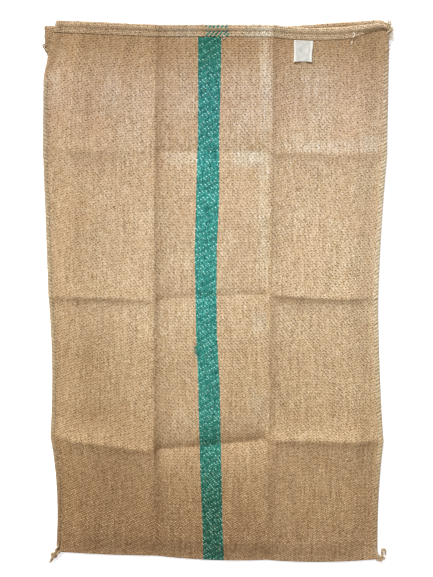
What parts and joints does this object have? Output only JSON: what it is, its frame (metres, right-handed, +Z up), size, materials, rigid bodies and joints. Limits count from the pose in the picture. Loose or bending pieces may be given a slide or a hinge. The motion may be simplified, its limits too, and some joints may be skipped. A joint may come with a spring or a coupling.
{
  "type": "jute sack",
  "caption": "Empty jute sack lying flat and creased, open at one end, with turned hems, overcast side seams, corner knots and a small label.",
  "frame": {"origin": "centre of the sack's outline on the surface that it lies on", "axes": "+Z up from the surface, +Y along the sack towards its mouth, +X to the right for someone who looks down on it with the mouth at the top"},
  "size_m": [0.7214, 1.1224, 0.0323],
  "materials": {
    "jute_cloth": "coarse double-warp twill of natural jute with one dyed green stripe, matt",
    "jute_twine": "two-ply jute sewing twine, matt and hairy",
    "label_cloth": "plain white woven cotton, matt",
    "loose_yarn": "unravelled jute yarn, matt"
  },
  "bodies": {
    "root": {"sack_cloth": "jute_cloth", "side_seam_left": "jute_twine", "side_seam_right": "jute_twine", "corner_knot_left": "jute_twine", "corner_knot_right": "jute_twine", "label": "label_cloth", "frayed_corner": "loose_yarn"}
  },
  "joints": []
}
